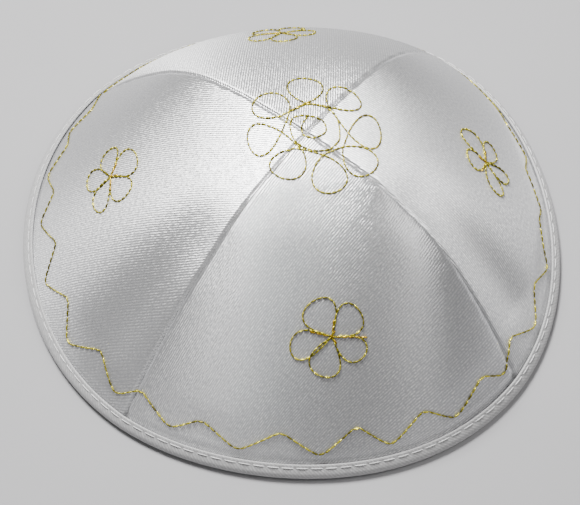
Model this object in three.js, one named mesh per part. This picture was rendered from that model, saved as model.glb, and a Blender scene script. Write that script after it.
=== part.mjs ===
// A skullcap sewn from four satin panels, with a folded tape bound round its rim.
// It stands on its rim as it does on a table: +Z up, the front panel faces -Y, and the
// origin is the middle of the rim's outline on the table. All lengths are in millimetres.
//
// The outer cloth is one dome, cut into four panels by the seams. A place on it is given
// by an azimuth in degrees, 0 at +X and anticlockwise from above, and by how far up the
// seams it lies, from 0 at the table to 1 at the crown. Every level section of a panel is
// one arc between its two seams: nearly a full round at the rim, and flat near the crown,
// so the seams stand out as ridges there.
import * as THREE from "three";

// Overall sizes.
const RIM_RADIUS = 85.5; // of the dome where it would meet the table
const CAP_HEIGHT = 56; // crown above the table
const CROWN_SLUMP_X = 7.7; // how far the soft crown has sunk to one side
const CROWN_SLUMP_Y = 1.3;

// Cloth and sewing.
const PANEL_WALL = 1; // satin, interlining and backing together
const SEAM_GAP = 0.3; // between two panels, at their seam
const BINDING_WALL = 1; // one leaf of the folded tape
const BINDING_OUTSIDE = 6; // how far the outer leaf reaches up the dome from the table
const BINDING_INSIDE = 5.4; // how far the inner leaf reaches up
const BINDING_CLEARANCE = 0.3; // between the panels and the tape all round
const BINDING_NIP = 0.6; // how far the stitching draws the panels in, inside the tape
const NIP_RUN = 3; // length over which they come out again above the tape

// The dome's level sections, from the table to the crown. Height is a share of the cap's
// height, and seam and middle are the distances out to a panel's seam and to its middle,
// as shares of the rim's radius.
const SECTIONS = [
  { up: 0, height: 0, seam: 1, middle: 1 },
  { up: 0.06, height: 0.097, seam: 0.943, middle: 0.934 },
  { up: 0.2, height: 0.315, seam: 0.842, middle: 0.839 },
  { up: 0.375, height: 0.573, seam: 0.701, middle: 0.677 },
  { up: 0.5, height: 0.743, seam: 0.591, middle: 0.533 },
  { up: 0.625, height: 0.875, seam: 0.461, middle: 0.377 },
  { up: 0.75, height: 0.948, seam: 0.312, middle: 0.23 },
  { up: 0.875, height: 0.982, seam: 0.156, middle: 0.113 },
  { up: 1, height: 1, seam: 0, middle: 0 },
];

// The soft rim isn't quite round: it is a little oval, and squarish with its corners at
// the seams. Shares of the radius, and where one of the lobes points.
const RIM_SWELLINGS = [
  { lobes: 2, share: 0.0286, azimuth: -34.8 },
  { lobes: 3, share: 0.0102, azimuth: 47.2 },
  { lobes: 4, share: 0.0134, azimuth: 40 },
];

// Each panel runs anticlockwise between two seams, whose azimuths differ a little from
// quarter turns because the soft cap doesn't lie evenly.
const FRONT_RIGHT_SEAM = -44.9;
const BACK_RIGHT_SEAM = 43.7;
const BACK_LEFT_SEAM = 132.7;
const FRONT_LEFT_SEAM = 224.9;
const PANELS = [
  { name: "panel_front", from: FRONT_LEFT_SEAM - 360, to: FRONT_RIGHT_SEAM },
  { name: "panel_right", from: FRONT_RIGHT_SEAM, to: BACK_RIGHT_SEAM },
  { name: "panel_back", from: BACK_RIGHT_SEAM, to: BACK_LEFT_SEAM },
  { name: "panel_left", from: BACK_LEFT_SEAM, to: FRONT_LEFT_SEAM },
];

// Soft folds, each along a line between two places on the dome. Width is a share of the
// rim's radius and rise a share of the cap's height, where a negative rise is a hollow.
const FOLDS = [
  { name: "right_hollow", from: { azimuth: -38, up: 0.62 }, to: { azimuth: -35, up: 0.2 }, width: 0.1, rise: -0.04 },
  { name: "right_swell", from: { azimuth: -20, up: 0.45 }, to: { azimuth: -14, up: 0.2 }, width: 0.2, rise: 0.02 },
  { name: "left_hollow", from: { azimuth: 217, up: 0.55 }, to: { azimuth: 212, up: 0.2 }, width: 0.14, rise: -0.03 },
  { name: "front_hollow", from: { azimuth: -90, up: 0.5 }, to: { azimuth: -88, up: 0.2 }, width: 0.24, rise: -0.02 },
];
const FOLDS_START = 0.08; // folds die away between these shares of the way up,
const FOLDS_FULL = 0.2; // because the binding holds the cloth

// How finely the curved faces are divided.
const ROWS = 18; // up a panel above its binding
const COLUMNS = 22; // across a panel, and along the binding below it
const FOLD_FACETS = 3; // in the tape's fold, on its outer side
const LENGTH_SAMPLES = 400; // along a seam, to measure up it

const SATIN = new THREE.MeshStandardMaterial({ color: 0xe6e7ea, roughness: 0.38, metalness: 0 });
const TAPE = new THREE.MeshStandardMaterial({ color: 0xd8d8da, roughness: 0.55, metalness: 0 });

const { degToRad, radToDeg, lerp, clamp, smoothstep, euclideanModulo } = THREE.MathUtils;
const UP = new THREE.Vector3(0, 0, 1);
const steps = (from, to, count) => Array.from({ length: count + 1 }, (_, i) => lerp(from, to, i / count));

// Beyond the crown the sections run down the far side, which keeps the crown smooth.
const beyond = SECTIONS.slice(0, -1)
  .reverse()
  .map(({ up, height, seam, middle }) => ({ up: 2 - up, height, seam: -seam, middle: -middle }));
const rows = [...SECTIONS, ...beyond];
const spline = new THREE.CubicInterpolant(
  rows.map(({ up }) => up),
  rows.flatMap(({ height, seam, middle }) => [height, seam, middle]),
  3,
);

function sectionAt(up) {
  const [height, seam, middle] = spline.evaluate(clamp(up, 0, 1));
  return { height: height * CAP_HEIGHT, seam: seam * RIM_RADIUS, middle: middle * RIM_RADIUS };
}

// Steps up a seam, each with its height and the length run from the table.
const climbSteps = [{ up: 0, height: 0, length: 0 }];
for (const up of steps(0, 1, LENGTH_SAMPLES).slice(1)) {
  const last = climbSteps.at(-1);
  const [low, high] = [sectionAt(last.up), sectionAt(up)];
  const run = Math.hypot(high.height - low.height, high.seam - low.seam);
  climbSteps.push({ up, height: high.height, length: last.length + run });
}

// How far up a height or a length in millimetres lies.
function upWhere(measure, value) {
  const next = clamp(climbSteps.findIndex((step) => step[measure] >= value), 1, LENGTH_SAMPLES);
  const [low, high] = [climbSteps[next - 1], climbSteps[next]];
  return lerp(low.up, high.up, (value - low[measure]) / (high[measure] - low[measure]));
}

const FLAT_BOW = 1e-4; // share of the seam's distance, below which an arc is a straight line

// Distance out to a panel's level section, by the angle from the panel's middle.
function sectionRadius(angle, halfPanel, { seam, middle }) {
  const chord = seam * Math.cos(halfPanel);
  const bow = middle - chord;
  if (bow <= FLAT_BOW * seam) return chord / Math.cos(angle);
  const arc = (Math.pow(seam * Math.sin(halfPanel), 2) + bow * bow) / (2 * bow);
  const centre = middle - arc;
  return centre * Math.cos(angle) + Math.sqrt(arc * arc - Math.pow(centre * Math.sin(angle), 2));
}

function rimShare(azimuth) {
  const swell = ({ lobes, share, azimuth: at }) => share * Math.cos(lobes * degToRad(azimuth - at));
  return RIM_SWELLINGS.reduce((sum, swelling) => sum + swell(swelling), 1);
}

function panelAt(azimuth) {
  const turned = euclideanModulo(azimuth - PANELS[0].from, 360) + PANELS[0].from;
  const { from, to } = PANELS.find((panel) => turned <= panel.to);
  return { angle: degToRad(turned - (from + to) / 2), halfPanel: degToRad((to - from) / 2) };
}

// A point of the dome before any fold is pressed into it.
function plainDome(azimuth, up) {
  const section = sectionAt(up);
  const { angle, halfPanel } = panelAt(azimuth);
  const radius = rimShare(azimuth) * sectionRadius(angle, halfPanel, section);
  const slumped = section.height / CAP_HEIGHT;
  return new THREE.Vector3(
    radius * Math.cos(degToRad(azimuth)) + CROWN_SLUMP_X * slumped,
    radius * Math.sin(degToRad(azimuth)) + CROWN_SLUMP_Y * slumped,
    section.height,
  );
}

const CLIMB_STEP = 1e-3; // share of the way up, over which a slope is taken
const SIDE_STEP = 0.5; // degrees, over which the slope across it is taken
const climb = (azimuth, up) =>
  plainDome(azimuth, Math.min(1, up + CLIMB_STEP)).sub(plainDome(azimuth, Math.max(0, up - CLIMB_STEP)));

// The way out of the cloth, square to the climb. Two panels share it at their seam.
function outwards(azimuth, up) {
  const slope = climb(azimuth, up).normalize();
  return UP.clone().addScaledVector(slope, -slope.z).normalize();
}

const foldLines = FOLDS.map(({ from, to, width, rise }) => ({
  line: new THREE.Line3(plainDome(from.azimuth, from.up), plainDome(to.azimuth, to.up)),
  width: width * RIM_RADIUS,
  rise: rise * CAP_HEIGHT,
}));

function foldRise(place, up) {
  const nearest = new THREE.Vector3();
  const rises = foldLines.map(({ line, width, rise }) => {
    line.closestPointToPoint(place, true, nearest);
    return rise * Math.exp(-Math.pow(nearest.distanceTo(place) / width, 2));
  });
  return rises.reduce((sum, rise) => sum + rise, 0) * smoothstep(up, FOLDS_START, FOLDS_FULL);
}

// Places on the way up: the panels' foot inside the tape, the upper edges of the tape's
// two leaves, and where the panels are free of its pull.
const FOLD_RADIUS = PANEL_WALL / 2 + BINDING_CLEARANCE + BINDING_WALL;
const FOLD_FLAT = degToRad(25); // half of the fold's round that the table flattens
const FOLD_HEIGHT = FOLD_RADIUS * Math.cos(FOLD_FLAT); // of the round's middle
const FOOT = upWhere("height", FOLD_HEIGHT + (PANEL_WALL / 2 + BINDING_NIP) * outwards(0, 0).z);
const LEAF_TOP = upWhere("length", BINDING_OUTSIDE);
const INNER_LEAF_TOP = upWhere("length", BINDING_INSIDE);
const FREE = upWhere("length", BINDING_OUTSIDE + NIP_RUN);

// The cloth at a depth below its outer face. The depth is square to the cloth, and the
// cloth's edge at a seam stays in the seam's own upright plane.
function cloth(azimuth, up, depth) {
  const place = plainDome(azimuth, up);
  const out = outwards(azimuth, up);
  const raised = foldRise(place, up) - BINDING_NIP * (1 - smoothstep(up, LEAF_TOP, FREE));
  const across = plainDome(azimuth + SIDE_STEP, up).sub(plainDome(azimuth - SIDE_STEP, up));
  const square = across.cross(climb(azimuth, up)).normalize();
  const slant = up < 1 ? Math.max(square.dot(out), Math.SQRT1_2) : 1;
  return place.addScaledVector(out, raised - depth / slant);
}

function solid(name, points, faces, material) {
  const geometry = new THREE.BufferGeometry().setFromPoints(points);
  geometry.setIndex(faces);
  geometry.computeVertexNormals();
  const mesh = new THREE.Mesh(geometry, material);
  mesh.name = name;
  return mesh;
}

// Azimuths across a panel, kept half the seam's gap away from each seam.
function columnsAcross({ from, to }, up) {
  const trim = radToDeg(Math.asin(SEAM_GAP / 2 / sectionAt(up).seam));
  return steps(from + trim, to - trim, COLUMNS);
}

// One panel: level rows from inside the tape up to the crown, where it comes to a point.
function makePanel(panel) {
  const ups = [FOOT, LEAF_TOP, ...steps(FREE, 1, ROWS).slice(0, -1)];
  const middle = (panel.from + panel.to) / 2;
  const inPoint = SEAM_GAP / 2 / Math.sin(degToRad((panel.to - panel.from) / 2));
  const tip = new THREE.Vector3(Math.cos(degToRad(middle)), Math.sin(degToRad(middle)), 0);
  const layer = (depth) => [
    ...ups.flatMap((up) => columnsAcross(panel, up).map((azimuth) => cloth(azimuth, up, depth))),
    cloth(middle, 1, depth).addScaledVector(tip, inPoint),
  ];
  const outer = layer(0);
  const at = (row, column) => (row === ups.length ? outer.length - 1 : row * (COLUMNS + 1) + column);
  const within = (index) => index + outer.length;
  const faces = [];
  const patch = (a, b, c, d) => {
    faces.push(a, b, c);
    if (c !== d) faces.push(a, c, d);
  };
  for (let row = 0; row < ups.length; row++) {
    for (let column = 0; column < COLUMNS; column++) {
      const [a, b] = [at(row, column), at(row, column + 1)];
      const [c, d] = [at(row + 1, column + 1), at(row + 1, column)];
      patch(a, b, c, d);
      if (c === d) faces.push(within(b), within(a), within(d));
      else patch(within(b), within(a), within(d), within(c));
      if (row === 0) patch(within(a), within(b), b, a);
    }
    const [low, high] = [at(row, 0), at(row + 1, 0)];
    patch(within(low), low, high, within(high));
    const [lowEnd, highEnd] = [at(row, COLUMNS), at(row + 1, COLUMNS)];
    patch(lowEnd, within(lowEnd), within(highEnd), highEnd);
  }
  return solid(panel.name, [...outer, ...layer(PANEL_WALL)], faces, SATIN);
}

// The tape's section at one azimuth, from the top of its outer leaf down round the fold
// and up its inner leaf, then back down between the leaves.
function bindingSection(azimuth) {
  const out = outwards(azimuth, FOOT);
  const level = out.clone().setZ(0).normalize();
  const tilt = Math.atan2(out.z, out.dot(level));
  const middle = cloth(azimuth, FOOT, PANEL_WALL / 2).setZ(FOLD_HEIGHT);
  const round = (radius, angle) =>
    middle.clone().addScaledVector(level, radius * Math.cos(angle)).addScaledVector(UP, radius * Math.sin(angle));
  const leaf = (up, depth, stand) => cloth(azimuth, up, depth).addScaledVector(outwards(azimuth, up), stand);
  const leafOut = BINDING_CLEARANCE + BINDING_WALL;
  const flatOuter = FOLD_FLAT - Math.PI / 2;
  const flatInner = flatOuter - 2 * FOLD_FLAT;
  return [
    leaf(LEAF_TOP, 0, leafOut),
    ...steps(tilt, flatOuter, FOLD_FACETS).map((angle) => round(FOLD_RADIUS, angle)),
    ...[flatInner, tilt - Math.PI].map((angle) => round(FOLD_RADIUS, angle)),
    leaf(INNER_LEAF_TOP, PANEL_WALL, -leafOut),
    leaf(INNER_LEAF_TOP, PANEL_WALL, -BINDING_CLEARANCE),
    ...steps(tilt - Math.PI, tilt, 2 * FOLD_FACETS).map((angle) => round(FOLD_RADIUS - BINDING_WALL, angle)),
    leaf(LEAF_TOP, 0, BINDING_CLEARANCE),
  ];
}

function makeBinding() {
  const azimuths = PANELS.flatMap(({ from, to }) => steps(from, to, COLUMNS).slice(0, -1));
  const sections = azimuths.map(bindingSection);
  const size = sections[0].length;
  const faces = [];
  for (let i = 0; i < sections.length; i++) {
    const next = (i + 1) % sections.length;
    for (let k = 0; k < size; k++) {
      const after = (k + 1) % size;
      const [a, b] = [i * size + k, next * size + k];
      const [c, d] = [next * size + after, i * size + after];
      faces.push(a, d, c, a, c, b);
    }
  }
  return solid("rim_binding", sections.flat(), faces, TAPE);
}

const cap = new THREE.Group();
cap.add(...PANELS.map(makePanel), makeBinding());

// The origin goes under the middle of the outline.
const outline = new THREE.Box3().setFromObject(cap);
cap.position.set(-(outline.min.x + outline.max.x) / 2, -(outline.min.y + outline.max.y) / 2, 0);

export default cap;
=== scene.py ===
import math

import bmesh
import bpy
import numpy as np
from mathutils import Matrix, Vector, noise
from mathutils.bvhtree import BVHTree


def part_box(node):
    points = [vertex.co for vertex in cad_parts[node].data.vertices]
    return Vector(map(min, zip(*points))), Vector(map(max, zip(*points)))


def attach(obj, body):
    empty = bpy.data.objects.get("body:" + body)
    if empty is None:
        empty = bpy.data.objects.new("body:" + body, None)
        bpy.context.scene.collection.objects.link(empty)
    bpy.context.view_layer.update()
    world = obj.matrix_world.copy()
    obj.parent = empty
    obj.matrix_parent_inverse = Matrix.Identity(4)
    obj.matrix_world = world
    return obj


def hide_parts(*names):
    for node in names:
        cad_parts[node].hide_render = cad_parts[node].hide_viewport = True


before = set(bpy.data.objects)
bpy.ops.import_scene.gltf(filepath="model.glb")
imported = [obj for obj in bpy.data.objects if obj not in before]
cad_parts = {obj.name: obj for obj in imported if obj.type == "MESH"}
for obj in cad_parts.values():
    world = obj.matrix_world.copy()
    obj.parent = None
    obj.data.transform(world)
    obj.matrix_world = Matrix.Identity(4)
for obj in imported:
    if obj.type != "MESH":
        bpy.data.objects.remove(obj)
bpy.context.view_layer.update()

MM = 0.001

# The dome's driving sizes.
RIM_RADIUS = 85.5
CAP_HEIGHT = 56.0
CROWN_SLUMP = (7.7, 1.3)

# Cloth and sewing.
PANEL_WALL = 1.0
BINDING_WALL = 1.0
BINDING_OUTSIDE = 6.0
BINDING_INSIDE = 5.4
BINDING_CLEARANCE = 0.3
BINDING_NIP = 0.6
NIP_RUN = 3.0

# The dome's level sections: how far up, the height as a share of the cap's height, and the
# distances out to a panel's seam and to its middle as shares of the rim's radius.
SECTIONS = (
    (0, 0, 1, 1),
    (0.06, 0.097, 0.943, 0.934),
    (0.2, 0.315, 0.842, 0.839),
    (0.375, 0.573, 0.701, 0.677),
    (0.5, 0.743, 0.591, 0.533),
    (0.625, 0.875, 0.461, 0.377),
    (0.75, 0.948, 0.312, 0.23),
    (0.875, 0.982, 0.156, 0.113),
    (1, 1, 0, 0),
)

# The soft rim isn't quite round: how many lobes, their share of its radius, and where one is.
RIM_SWELLINGS = ((2, 0.0286, -34.8), (3, 0.0102, 47.2), (4, 0.0134, 40))

# The panels run anticlockwise between two seams. Grain is the turn of the cloth's weft from
# level, as each panel was cut, and pucker is how much its first seam gathers.
FRONT_RIGHT_SEAM = -44.9
BACK_RIGHT_SEAM = 43.7
BACK_LEFT_SEAM = 132.7
FRONT_LEFT_SEAM = 224.9
PANELS = (
    {"node": "panel_front", "from": FRONT_LEFT_SEAM - 360, "to": FRONT_RIGHT_SEAM,
     "grain": -18, "pucker": 0.05},
    {"node": "panel_right", "from": FRONT_RIGHT_SEAM, "to": BACK_RIGHT_SEAM, "grain": -8, "pucker": 0.07},
    {"node": "panel_back", "from": BACK_RIGHT_SEAM, "to": BACK_LEFT_SEAM, "grain": 16, "pucker": 0.16},
    {"node": "panel_left", "from": BACK_LEFT_SEAM, "to": FRONT_LEFT_SEAM, "grain": 5, "pucker": 0.07},
)

# Soft folds, each along a line between two places. Width is a share of the rim's radius and
# rise a share of the cap's height, where a negative rise is a hollow.
FOLDS = (
    {"name": "right_hollow", "from": (-38, 0.62), "to": (-35, 0.2), "width": 0.1, "rise": -0.04},
    {"name": "right_swell", "from": (-20, 0.45), "to": (-14, 0.2), "width": 0.2, "rise": 0.02},
    {"name": "left_hollow", "from": (217, 0.55), "to": (212, 0.2), "width": 0.14, "rise": -0.03},
    {"name": "front_hollow", "from": (-90, 0.5), "to": (-88, 0.2), "width": 0.24, "rise": -0.02},
)
FOLDS_START = 0.08
FOLDS_FULL = 0.2

# Small unevenness of the sewn cloth, in millimetres.
SEAM_ROLL = 0.4  # how deep a panel's edge turns down into its seam
SEAM_ROLL_WIDTH = 0.6
SEAM_PUCKER = 0.07
SEAM_PUCKER_WAVE = {"pitch": 6.5, "sway": 1.7, "beat": 2}
SEAM_PUCKER_WIDTH = 5.0
RIM_PUCKER = 0.07
RIM_PUCKER_WAVE = {"pitch": 11.0, "sway": 2, "beat": 3}
RIM_PUCKER_WIDTH = 7.0
SLACK = 0.35  # broad waves of the loose cloth
SLACK_LENGTH = 30.0

# The visible tape and panels.
PANEL_GAP = 0.06  # between two panels where their edges meet in a seam
STITCH_SINK = 0.1  # how deep the topstitch draws the tape in
STITCH_SINK_WIDTH = 0.7
STITCH_PULL = 0.15  # by how much of it the sink eases between two stitches
TAPE_PUFF = 0.02  # how far the tape swells below its topstitch
TAPE_PUFF_WIDTH = 4.0

# How finely they are divided.
PANEL_COLUMNS = 130
PANEL_ROWS = 112
HEM_ROWS = 2
PULL_ROWS = 6
EDGE_CROWDING = 0.5  # of a panel's columns, towards its seams
TAPE_COLUMNS = 900
LEAF_POINTS = 8
EDGE_POINTS = 5
FOLD_POINTS = 5
CLIMB_SAMPLES = 2001
MERGE = 1e-4
SHARP_ANGLE = 40
CLOTH_MAP = "cloth"  # the UV map, in millimetres along the weft and the warp
WEFT = "weft"  # the attribute with the weft's level direction, the same all over a panel

# Embroidery. Petals grow from a centre or from the rosette's ring: direction in degrees,
# length, width, and how far the tip leans aside, in millimetres.
GOLD_STITCH = 2.2
PETAL_STITCH = 1.7
PETAL_BELLY = 1.2
PETAL_POINTS = 49
FASTENED_OVER = 0.8  # how far beyond the flower's middle a fastening run starts
ROSETTE_ROUNDING = 1.6
DOUBLED_LOOPS = (6, 5, 4)  # of the rosette, between which the thread runs twice
PATH_STEP = 0.25
ZIGZAG_POINTS = 2401
DROP_HEIGHT = 20.0  # from which a flat pattern is dropped onto the cloth
STITCH_RINGS = 8
STITCH_SIDES = 6
STITCH_SHOULDER = 4.0  # how late a stitch dives
STITCH_TAPER = 0.4
PLY_SHARE = 0.8  # how flat the twisted thread's section is
FLOWER_HEIGHT = 34.0
FLOWERS = (
    {"name": "front", "azimuth": 272.9, "petals": ((116, 11.5, 10.2, -0.7), (36, 10.8, 9.0, 1.4),
     (-36, 10.8, 7.7, 0.3), (-111, 12.0, 9.2, 0.8), (-172, 12.4, 8.3, 1.5)),
     "fastened": ((163, 6.5), (-5, 10.0), (80, 5.0), (60, 2.0), (-60, 2.5))},
    {"name": "right", "azimuth": 356.2, "petals": ((104, 7.6, 7.5, -0.5), (25, 12.0, 7.5, 1.9),
     (-38, 9.5, 6.3, 2.0), (-110, 10.1, 5.3, 0.5), (-169, 10.9, 5.7, 2.7)),
     "fastened": ((150, 5.0), (-10, 5.0), (70, 3.0))},
    {"name": "back", "azimuth": 89.3, "petals": ((90, 11.0, 8.2, 0), (18, 11.2, 8.6, 0.8),
     (-54, 11.0, 8.0, 0.5), (-126, 11.2, 8.4, 0.6), (162, 11.0, 8.2, -0.5)),
     "fastened": ((126, 5.0), (-18, 6.0), (54, 3.0))},
    {"name": "left", "azimuth": 171.6, "petals": ((112, 10.7, 10.3, -0.5), (34, 11.0, 8.3, 0.7),
     (-41, 11.2, 7.7, 1.8), (-100, 11.1, 7.7, -1.1), (-166, 10.6, 7.5, -1.0)),
     "fastened": ((150, 4.5), (0, 5.0), (80, 3.0))},
)

# The rosette's eight loops, anticlockwise. Each crosses itself at a place on the ring, given
# by its azimuth and distance from the crown. Then come the petal's own values, with how late
# it swells last.
ROSETTE_LOOPS = (
    ((-110, 5.7), (-130, 10.8, 10.2, -1.3, 0.6)),
    ((-64, 9.0), (-84, 11.8, 10.2, 0.3, 0.8)),
    ((-31, 11.7), (-50, 11.5, 9.8, -0.1, 0.7)),
    ((-7, 12.1), (1, 9.5, 12.1, 0.7, 0.9)),
    ((48, 11.2), (36, 9.1, 11.3, -1.6, 0.9)),
    ((83, 11.1), (81, 10.6, 10.7, 1.7, 0.5)),
    ((113, 9.3), (146, 11.5, 10.2, 0.9, 0.4)),
    ((168, 6.9), (-172, 10.2, 11.7, 0.5, 1.2)),
)
# Its middle is one thread that winds inwards clockwise: direction and distance from a centre.
RING_CENTRE = (2.8, 1.8)
RING_WINDS = (
    (135, 9.1), (100, 9.0), (80, 8.1), (52, 7.6), (25, 7.3), (-5, 7.1), (-40, 8.6),
    (-70, 9.3), (-100, 8.5), (-130, 7.9), (-155, 7.5), (-190, 7.3), (-213, 7.4), (-227, 6.3),
    (-240, 5.0), (-262, 3.8), (-305, 3.2), (-350, 3.2), (-395, 4.0), (-440, 4.1), (-485, 4.7),
    (-515, 4.6), (-550, 3.8), (-580, 3.6), (-610, 4.3),
)

# The zigzag's teeth, sewn by eye: the azimuth of each outer corner and how far up from the
# table it lies along the cloth, in millimetres, then the same of the inner corner after it.
ZIGZAG_ROUNDING = 3.2
ZIGZAG = (
    (133, 9.1, 141, 18.5),
    (145.5, 9.7, 151.5, 16.5),
    (158, 8.6, 165.5, 18.3),
    (171, 9.7, 180.5, 20.3),
    (186.5, 9.2, 195.5, 18.4),
    (203, 8.6, 211.5, 17.7),
    (220.5, 9.8, 226, 16.7),
    (235.5, 9.3, 242, 15.8),
    (251.5, 8.3, 260.5, 16.5),
    (269.5, 8.2, 277.5, 17.7),
    (284.5, 8.6, 292.5, 17.2),
    (299, 9.0, 307.5, 16.4),
    (313, 9.8, 318.5, 17.7),
    (326.5, 8.5, 333.5, 16.9),
    (341, 8.2, 350, 16.9),
    (355.5, 10.3, 363.5, 20.0),
)
HIDDEN_TEETH = 8  # even ones, from the last of these round the back to the first
HIDDEN_LOW = 9.0
HIDDEN_HIGH = 17.5

# The thread along the binding and in the seams.
TOPSTITCH_PITCH = 4.3
TOPSTITCH_BELOW_EDGE = 1.0
TOPSTITCH_GAP = 0.12  # of the pitch, between two stitches
SEAM_STITCH = 2.4
SEAM_STITCH_DEPTH = 0.15  # below the panels' rolled edges
SEAM_STITCH_LENGTH = 0.5

# Threads: how wide, how far a stitch stands out at its middle and dives at its ends, how many
# turns it twists, and its slot in the record.
GOLD = {"width": 0.56, "stands": 0.26, "dives": 0.08, "twist": 1.5, "slot": "gold_thread"}
TOP_THREAD = {"width": 0.34, "stands": 0.16, "dives": 0.14, "twist": 2.0, "slot": "white_thread"}
SEAM_THREAD = {"width": 0.16, "stands": 0.02, "dives": 0.1, "twist": 0.5, "slot": "white_thread"}

# Weave, in millimetres between lines and along a float, and in degrees from the weft. The
# panels' real twill is a little finer, and is drawn as coarse as it shows.
SATIN_ANGLE = 66
SATIN_PITCH = 0.7
SATIN_FLOAT = 1.3
SATIN_RELIEF = 0.05
TAPE_ANGLE = 45
TAPE_PITCH = 0.8
FOIL_PITCH = 0.9
FOIL_RELIEF = 0.05
FUZZ_PITCH = 0.15
FUZZ_RELIEF = 0.03
MOTTLES = 12.0  # of the floor, in a metre
WAVE_PERIOD = math.pi / 10  # of the wave texture's bands at scale 1

# Softboxes that face the cap: degrees, metres and watts.
LIGHTS = (
    {"name": "key_softbox", "azimuth": 107, "elevation": 61, "distance": 1.0, "size": 0.35,
     "power": 26, "colour": "#fffefc"},
    {"name": "fill_softbox", "azimuth": -8, "elevation": 55, "distance": 1.2, "size": 0.5,
     "power": 5, "colour": "#fffdfb"},
    {"name": "low_softbox", "azimuth": 232, "elevation": 24, "distance": 1.2, "size": 0.6,
     "power": 1.3, "colour": "#fffefd"},
)
WORLD_STRENGTH = 0.15
FLOOR_SIZE = 4.0  # metres

# The camera stands where the photograph was taken from.
CAMERA_ELEVATION = 59.5
CAMERA_TURN = -1.29
CAMERA_DISTANCE = 494.4
CAMERA_AIM = (-0.51, -18.98, 25.0)
CAMERA_ROLL = -6.125
CAMERA_LENS = 103.44
SENSOR_WIDTH = 36.0


def smoothstep(value, low, high):
    share = np.clip((value - low) / (high - low), 0, 1)
    return share * share * (3 - 2 * share)


def unit(vectors):
    return vectors / np.linalg.norm(vectors, axis=-1, keepdims=True)


def dot(a, b):
    return (a * b).sum(-1)


# The dome.


def mirrored_sections():
    """The table of sections, run on beyond the crown down its far side to keep the crown smooth."""
    far = [(2 - up, height, -seam, -middle) for up, height, seam, middle in SECTIONS[-2::-1]]
    return np.array([*SECTIONS, *far], float)


KNOTS, LEVELS = np.split(mirrored_sections(), [1], axis=1)
KNOTS = KNOTS[:, 0]
CHORDS = np.diff(LEVELS, axis=0) / np.diff(KNOTS)[:, None]
SLOPES = np.vstack([CHORDS[:1], (CHORDS[1:] + CHORDS[:-1]) / 2, CHORDS[-1:]])


def section_at(up):
    """Height, distance to the seam and distance to the panel's middle, in millimetres."""
    up = np.clip(np.asarray(up, float), 0, 1)
    index = np.clip(np.searchsorted(KNOTS, up, side="right") - 1, 0, len(KNOTS) - 2)
    run = (KNOTS[index + 1] - KNOTS[index])[..., None]
    share = (up - KNOTS[index])[..., None] / run
    back = 1 - share
    level = (
        (1 + 2 * share) * back**2 * LEVELS[index]
        + share * back**2 * run * SLOPES[index]
        + share**2 * (3 - 2 * share) * LEVELS[index + 1]
        - share**2 * back * run * SLOPES[index + 1]
    )
    return level[..., 0] * CAP_HEIGHT, level[..., 1] * RIM_RADIUS, level[..., 2] * RIM_RADIUS


UPS = np.linspace(0, 1, CLIMB_SAMPLES)
HEIGHTS, SEAM_RADII, MIDDLE_RADII = section_at(UPS)
LENGTHS = np.concatenate([[0], np.cumsum(np.hypot(np.diff(HEIGHTS), np.diff(SEAM_RADII)))])
MIDDLE_LENGTHS = np.concatenate([[0], np.cumsum(np.hypot(np.diff(HEIGHTS), np.diff(MIDDLE_RADII)))])


def up_where(measured, value):
    """How far up a height or a length along the seam lies."""
    return np.interp(value, measured, UPS)


def length_at(up):
    return np.interp(up, UPS, LENGTHS)


def section_radius(angle, half, seam, middle):
    """Distance out to a section of one arc, by the angle from the panel's middle."""
    chord = seam * np.cos(half)
    bow = np.maximum(middle - chord, 1e-6)
    arc = ((seam * np.sin(half)) ** 2 + bow * bow) / (2 * bow)
    centre = middle - arc
    reach = np.sqrt(np.maximum(arc**2 - (centre * np.sin(angle)) ** 2, 0))
    return centre * np.cos(angle) + reach


def plain_dome(azimuth, up):
    """Places on the outer cloth, before folds, for azimuths and shares of the way up."""
    azimuth, up = np.broadcast_arrays(np.asarray(azimuth, float), np.asarray(up, float))
    first = PANELS[0]["from"]
    turned = (azimuth - first) % 360 + first
    starts = np.array([panel["from"] for panel in PANELS])
    ends = np.array([panel["to"] for panel in PANELS])
    index = np.clip(np.searchsorted(ends, turned), 0, len(PANELS) - 1)
    angle = np.radians(turned - (starts[index] + ends[index]) / 2)
    half = np.radians((ends[index] - starts[index]) / 2)
    height, seam, middle = section_at(up)
    swells = (share * np.cos(lobes * np.radians(azimuth - at)) for lobes, share, at in RIM_SWELLINGS)
    radius = section_radius(angle, half, seam, middle) * (1 + sum(swells))
    around = np.radians(azimuth)
    slumped = height / CAP_HEIGHT
    return np.stack(
        [
            radius * np.cos(around) + CROWN_SLUMP[0] * slumped,
            radius * np.sin(around) + CROWN_SLUMP[1] * slumped,
            height,
        ],
        axis=-1,
    )


CLIMB_STEP = 1e-3  # share of the way up, over which a slope is taken
SIDE_STEP = 0.5  # degrees, over which the slope across it is taken
UPRIGHT = np.array([0.0, 0.0, 1.0])


def climb(azimuth, up):
    above, below = np.minimum(1, up + CLIMB_STEP), np.maximum(0, up - CLIMB_STEP)
    return plain_dome(azimuth, above) - plain_dome(azimuth, below)


def outwards(azimuth, up):
    """The way out of the cloth, square to the climb."""
    slope = unit(climb(azimuth, up))
    return unit(UPRIGHT - slope * slope[..., 2:])


def fold_rise(place, up):
    """How far the soft folds lift the cloth there."""
    rise = np.zeros(place.shape[:-1])
    for fold in FOLDS:
        start, end = plain_dome(*fold["from"]), plain_dome(*fold["to"])
        along = np.clip((place - start) @ (end - start) / dot(end - start, end - start), 0, 1)
        off = np.linalg.norm(place - start - along[..., None] * (end - start), axis=-1)
        rise += fold["rise"] * CAP_HEIGHT * np.exp(-((off / (fold["width"] * RIM_RADIUS)) ** 2))
    return rise * smoothstep(up, FOLDS_START, FOLDS_FULL)


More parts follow.
